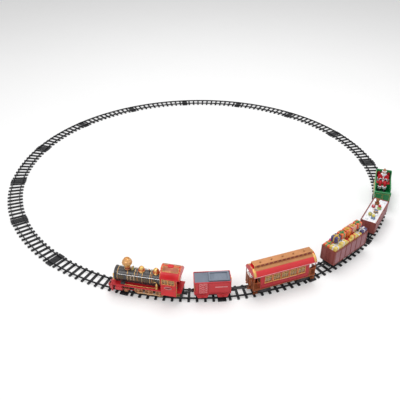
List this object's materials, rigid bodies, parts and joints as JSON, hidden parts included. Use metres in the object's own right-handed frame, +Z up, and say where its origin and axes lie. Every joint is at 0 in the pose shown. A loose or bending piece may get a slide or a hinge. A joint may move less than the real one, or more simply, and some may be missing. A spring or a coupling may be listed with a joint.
{
  "type": "toy train set",
  "caption": "Festive toy train on a round track: steam locomotive, tender, passenger coach, gift wagon, toy wagon and a sleigh wagon with a seated figure",
  "frame": {"origin": "centre of the track loop, on the floor under the track", "axes": "+Z up, the loop's axis; -Y is the side where the locomotive, tender and coach stand; +X is to the right seen from that side"},
  "size_m": [1.676, 1.6852, 0.133],
  "materials": {
    "track_black": "moulded, satin",
    "chassis_black": "moulded, satin",
    "boiler_black": "glossy",
    "loco_red": "glossy",
    "cab_red": "glossy",
    "battery_steel": "printed sleeve",
    "screw_steel": "bright",
    "motor_steel": "plain",
    "gear_white": "moulded",
    "front_black": "satin",
    "lens_clear": "clear",
    "chimney_copper": "metallic",
    "bell_gold": "metallic",
    "dome_brass": "metallic",
    "rod_gold": "metallic",
    "wheel_copper": "metallic",
    "wheel_black": "satin",
    "cylinder_black": "satin",
    "switch_black": "moulded",
    "tender_red": "glossy",
    "tender_grey": "satin",
    "coach_red": "glossy",
    "coach_clear": "clear",
    "roof_red": "glossy",
    "coach_floor_brown": "satin",
    "gift_wagon_red": "satin",
    "present_paper": "glossy",
    "toy_wagon_red": "satin",
    "snow_white": "sparkling",
    "sleigh_green": "glossy",
    "figure_coat": "satin"
  },
  "bodies": {
    "track": {"track_sections": "track_black"},
    "locomotive": {"locomotive_chassis": "chassis_black", "battery_cover": "chassis_black", "batteries": "battery_steel", "motor": "motor_steel", "chassis_screws": "screw_steel", "running_board": "loco_red", "pilot": "loco_red", "boiler": "boiler_black", "smokebox_front": "front_black", "headlamp_lens": "lens_clear", "chimney": "chimney_copper", "bell": "bell_gold", "boiler_domes": "dome_brass", "cab": "cab_red", "cab_roof": "cab_red", "cylinders": "cylinder_black"},
    "motor_pinion": {"motor_pinion": "gear_white"},
    "power_switch": {"power_switch": "switch_black"},
    "side_rod_left": {"side_rod_left": "rod_gold"},
    "side_rod_right": {"side_rod_right": "rod_gold"},
    "leading_wheels": {"leading_wheelset": "wheel_copper"},
    "driving_wheels_front": {"driving_wheelset_front": "wheel_copper"},
    "driving_wheels_middle": {"driving_wheelset_middle": "wheel_copper"},
    "driving_wheels_rear": {"driving_wheelset_rear": "wheel_copper"},
    "tender": {"tender_body": "tender_red", "tender_deck": "tender_grey", "tender_chassis": "chassis_black"},
    "tender_drawbar": {"tender_drawbar": "chassis_black"},
    "tender_wheels_front": {"tender_wheelset_front": "wheel_black"},
    "tender_wheels_rear": {"tender_wheelset_rear": "wheel_black"},
    "coach": {"coach_body": "coach_red", "coach_glazing": "coach_clear", "coach_roof": "roof_red", "coach_floor": "coach_floor_brown"},
    "coach_drawbar": {"coach_drawbar": "chassis_black"},
    "coach_bogie_front": {"coach_bogie_front": "chassis_black"},
    "coach_bogie_rear": {"coach_bogie_rear": "chassis_black"},
    "coach_wheels_1": {"coach_wheelset_1": "wheel_black"},
    "coach_wheels_2": {"coach_wheelset_2": "wheel_black"},
    "coach_wheels_3": {"coach_wheelset_3": "wheel_black"},
    "coach_wheels_4": {"coach_wheelset_4": "wheel_black"},
    "gift_wagon": {"gift_wagon_body": "gift_wagon_red", "gift_boxes": "present_paper", "gift_wagon_chassis": "chassis_black"},
    "gift_wagon_drawbar": {"gift_wagon_drawbar": "chassis_black"},
    "gift_wagon_wheels_front": {"gift_wagon_wheelset_front": "wheel_black"},
    "gift_wagon_wheels_rear": {"gift_wagon_wheelset_rear": "wheel_black"},
    "toy_wagon": {"toy_wagon_body": "toy_wagon_red", "toy_wagon_load": "snow_white", "toy_wagon_chassis": "chassis_black"},
    "toy_wagon_drawbar": {"toy_wagon_drawbar": "chassis_black"},
    "toy_wagon_wheels_front": {"toy_wagon_wheelset_front": "wheel_black"},
    "toy_wagon_wheels_rear": {"toy_wagon_wheelset_rear": "wheel_black"},
    "sleigh": {"sleigh_body": "sleigh_green", "seated_figure": "figure_coat", "sleigh_chassis": "chassis_black"},
    "sleigh_drawbar": {"sleigh_drawbar": "chassis_black"},
    "sleigh_wheels_front": {"sleigh_wheelset_front": "wheel_black"},
    "sleigh_wheels_rear": {"sleigh_wheelset_rear": "wheel_black"}
  },
  "joints": [
    {"name": "locomotive_run", "type": "hinge", "parent": "track", "child": "locomotive", "pos_m": [0, 0, 0], "axis": [0, 0, -1], "continuous": true},
    {"name": "tender_run", "type": "hinge", "parent": "track", "child": "tender", "pos_m": [0, 0, 0], "axis": [0, 0, -1], "continuous": true},
    {"name": "coach_run", "type": "hinge", "parent": "track", "child": "coach", "pos_m": [0, 0, 0], "axis": [0, 0, -1], "continuous": true},
    {"name": "gift_wagon_run", "type": "hinge", "parent": "track", "child": "gift_wagon", "pos_m": [0, 0, 0], "axis": [0, 0, -1], "continuous": true},
    {"name": "toy_wagon_run", "type": "hinge", "parent": "track", "child": "toy_wagon", "pos_m": [0, 0, 0], "axis": [0, 0, -1], "continuous": true},
    {"name": "sleigh_run", "type": "hinge", "parent": "track", "child": "sleigh", "pos_m": [0, 0, 0], "axis": [0, 0, -1], "continuous": true},
    {"name": "leading_axle_spin", "type": "hinge", "parent": "locomotive", "child": "leading_wheels", "pos_m": [-0.23056, -0.77432, 0.0183], "axis": [-0.2164, -0.9763, 0], "continuous": true},
    {"name": "driving_axle_front_spin", "type": "hinge", "parent": "locomotive", "child": "driving_wheels_front", "pos_m": [-0.18858, -0.78363, 0.0248], "axis": [-0.2164, -0.9763, 0], "continuous": true},
    {"name": "driving_axle_middle_spin", "type": "hinge", "parent": "locomotive", "child": "driving_wheels_middle", "pos_m": [-0.15343, -0.79142, 0.0248], "axis": [-0.2164, -0.9763, 0], "continuous": true},
    {"name": "driving_axle_rear_spin", "type": "hinge", "parent": "locomotive", "child": "driving_wheels_rear", "pos_m": [-0.11829, -0.79921, 0.0248], "axis": [-0.2164, -0.9763, 0], "continuous": true},
    {"name": "side_rod_left_pivot", "type": "hinge", "parent": "driving_wheels_middle", "child": "side_rod_left", "pos_m": [-0.15895, -0.81632, 0.0178], "axis": [-0.2164, -0.9763, 0], "continuous": true},
    {"name": "side_rod_right_pivot", "type": "hinge", "parent": "driving_wheels_middle", "child": "side_rod_right", "pos_m": [-0.14791, -0.76653, 0.0178], "axis": [-0.2164, -0.9763, 0], "continuous": true},
    {"name": "motor_pinion_spin", "type": "hinge", "parent": "locomotive", "child": "motor_pinion", "pos_m": [-0.1447, -0.79336, 0.03374], "axis": [-0.2164, -0.9763, 0], "continuous": true},
    {"name": "power_switch_slide", "type": "slide", "parent": "locomotive", "child": "power_switch", "axis": [-0.2164, -0.9763, 0], "range_m": [0, 0.004]},
    {"name": "coach_bogie_front_swivel", "type": "hinge", "parent": "coach", "child": "coach_bogie_front", "pos_m": [0.20997, -0.77921, 0.0297], "axis": [0, 0, 1], "range_deg": [-2, 2]},
    {"name": "coach_axle_1_spin", "type": "hinge", "parent": "coach_bogie_front", "child": "coach_wheels_1", "pos_m": [0.19259, -0.78389, 0.0178], "axis": [0.2602, -0.9656, 0], "continuous": true},
    {"name": "coach_axle_2_spin", "type": "hinge", "parent": "coach_bogie_front", "child": "coach_wheels_2", "pos_m": [0.22735, -0.77452, 0.0178], "axis": [0.2602, -0.9656, 0], "continuous": true},
    {"name": "coach_bogie_rear_swivel", "type": "hinge", "parent": "coach", "child": "coach_bogie_rear", "pos_m": [0.34512, -0.72948, 0.0297], "axis": [0, 0, 1], "range_deg": [-2, 2]},
    {"name": "coach_axle_3_spin", "type": "hinge", "parent": "coach_bogie_rear", "child": "coach_wheels_3", "pos_m": [0.32884, -0.73718, 0.0178], "axis": [0.4277, -0.9039, 0], "continuous": true},
    {"name": "coach_axle_4_spin", "type": "hinge", "parent": "coach_bogie_rear", "child": "coach_wheels_4", "pos_m": [0.36139, -0.72178, 0.0178], "axis": [0.4277, -0.9039, 0], "continuous": true},
    {"name": "tender_axle_front_spin", "type": "hinge", "parent": "tender", "child": "tender_wheels_front", "pos_m": [0.01488, -0.80686, 0.0178], "axis": [0.0593, -0.9982, 0], "continuous": true},
    {"name": "tender_axle_rear_spin", "type": "hinge", "parent": "tender", "child": "tender_wheels_rear", "pos_m": [0.08076, -0.80295, 0.0178], "axis": [0.0593, -0.9982, 0], "continuous": true},
    {"name": "gift_wagon_axle_front_spin", "type": "hinge", "parent": "gift_wagon", "child": "gift_wagon_wheels_front", "pos_m": [0.47913, -0.64938, 0.0178], "axis": [0.6481, -0.7615, 0], "continuous": true},
    {"name": "gift_wagon_axle_rear_spin", "type": "hinge", "parent": "gift_wagon", "child": "gift_wagon_wheels_rear", "pos_m": [0.56442, -0.57678, 0.0178], "axis": [0.6481, -0.7615, 0], "continuous": true},
    {"name": "toy_wagon_axle_front_spin", "type": "hinge", "parent": "toy_wagon", "child": "toy_wagon_wheels_front", "pos_m": [0.65375, -0.47314, 0.0178], "axis": [0.8462, -0.5329, 0], "continuous": true},
    {"name": "toy_wagon_axle_rear_spin", "type": "hinge", "parent": "toy_wagon", "child": "toy_wagon_wheels_rear", "pos_m": [0.70917, -0.38514, 0.0178], "axis": [0.8462, -0.5329, 0], "continuous": true},
    {"name": "sleigh_axle_front_spin", "type": "hinge", "parent": "sleigh", "child": "sleigh_wheels_front", "pos_m": [0.75787, -0.27729, 0.0178], "axis": [0.9568, -0.2907, 0], "continuous": true},
    {"name": "sleigh_axle_rear_spin", "type": "hinge", "parent": "sleigh", "child": "sleigh_wheels_rear", "pos_m": [0.78403, -0.19118, 0.0178], "axis": [0.9568, -0.2907, 0], "continuous": true},
    {"name": "tender_drawbar_lift", "type": "hinge", "parent": "tender", "child": "tender_drawbar", "pos_m": [-0.01806, -0.80882, 0.02455], "axis": [-0.3993, 0.9168, 0], "range_deg": [0, 20]},
    {"name": "coach_drawbar_lift", "type": "hinge", "parent": "coach", "child": "coach_drawbar", "pos_m": [0.16446, -0.79595, 0.02455], "axis": [-0.1013, 0.9949, 0], "range_deg": [0, 20]},
    {"name": "gift_wagon_drawbar_lift", "type": "hinge", "parent": "gift_wagon", "child": "gift_wagon_drawbar", "pos_m": [0.44562, -0.67789, 0.02455], "axis": [-0.5438, 0.8392, 0], "range_deg": [0, 20]},
    {"name": "toy_wagon_drawbar_lift", "type": "hinge", "parent": "toy_wagon", "child": "toy_wagon_drawbar", "pos_m": [0.6319, -0.50783, 0.02455], "axis": [-0.772, 0.6356, 0], "range_deg": [0, 20]},
    {"name": "sleigh_drawbar_lift", "type": "hinge", "parent": "sleigh", "child": "sleigh_drawbar", "pos_m": [0.7474, -0.31173, 0.02455], "axis": [-0.9256, 0.3784, 0], "range_deg": [0, 20]}
  ],
  "couplings": [
    {"joint": "tender_run", "follows": "locomotive_run", "ratio": 1},
    {"joint": "coach_run", "follows": "locomotive_run", "ratio": 1},
    {"joint": "gift_wagon_run", "follows": "locomotive_run", "ratio": 1},
    {"joint": "toy_wagon_run", "follows": "locomotive_run", "ratio": 1},
    {"joint": "sleigh_run", "follows": "locomotive_run", "ratio": 1},
    {"joint": "leading_axle_spin", "follows": "locomotive_run", "ratio": 100.88},
    {"joint": "driving_axle_front_spin", "follows": "locomotive_run", "ratio": 55.655},
    {"joint": "driving_axle_middle_spin", "follows": "locomotive_run", "ratio": 55.655},
    {"joint": "driving_axle_rear_spin", "follows": "locomotive_run", "ratio": 55.655},
    {"joint": "side_rod_left_pivot", "follows": "locomotive_run", "ratio": -55.655},
    {"joint": "side_rod_right_pivot", "follows": "locomotive_run", "ratio": -55.655},
    {"joint": "motor_pinion_spin", "follows": "locomotive_run", "ratio": -111.31},
    {"joint": "coach_axle_1_spin", "follows": "locomotive_run", "ratio": 107.6},
    {"joint": "coach_axle_2_spin", "follows": "locomotive_run", "ratio": 107.6},
    {"joint": "coach_axle_3_spin", "follows": "locomotive_run", "ratio": 107.6},
    {"joint": "coach_axle_4_spin", "follows": "locomotive_run", "ratio": 107.6},
    {"joint": "tender_axle_front_spin", "follows": "locomotive_run", "ratio": 107.6},
    {"joint": "tender_axle_rear_spin", "follows": "locomotive_run", "ratio": 107.6},
    {"joint": "gift_wagon_axle_front_spin", "follows": "locomotive_run", "ratio": 107.6},
    {"joint": "gift_wagon_axle_rear_spin", "follows": "locomotive_run", "ratio": 107.6},
    {"joint": "toy_wagon_axle_front_spin", "follows": "locomotive_run", "ratio": 107.6},
    {"joint": "toy_wagon_axle_rear_spin", "follows": "locomotive_run", "ratio": 107.6},
    {"joint": "sleigh_axle_front_spin", "follows": "locomotive_run", "ratio": 107.6},
    {"joint": "sleigh_axle_rear_spin", "follows": "locomotive_run", "ratio": 107.6}
  ]
}
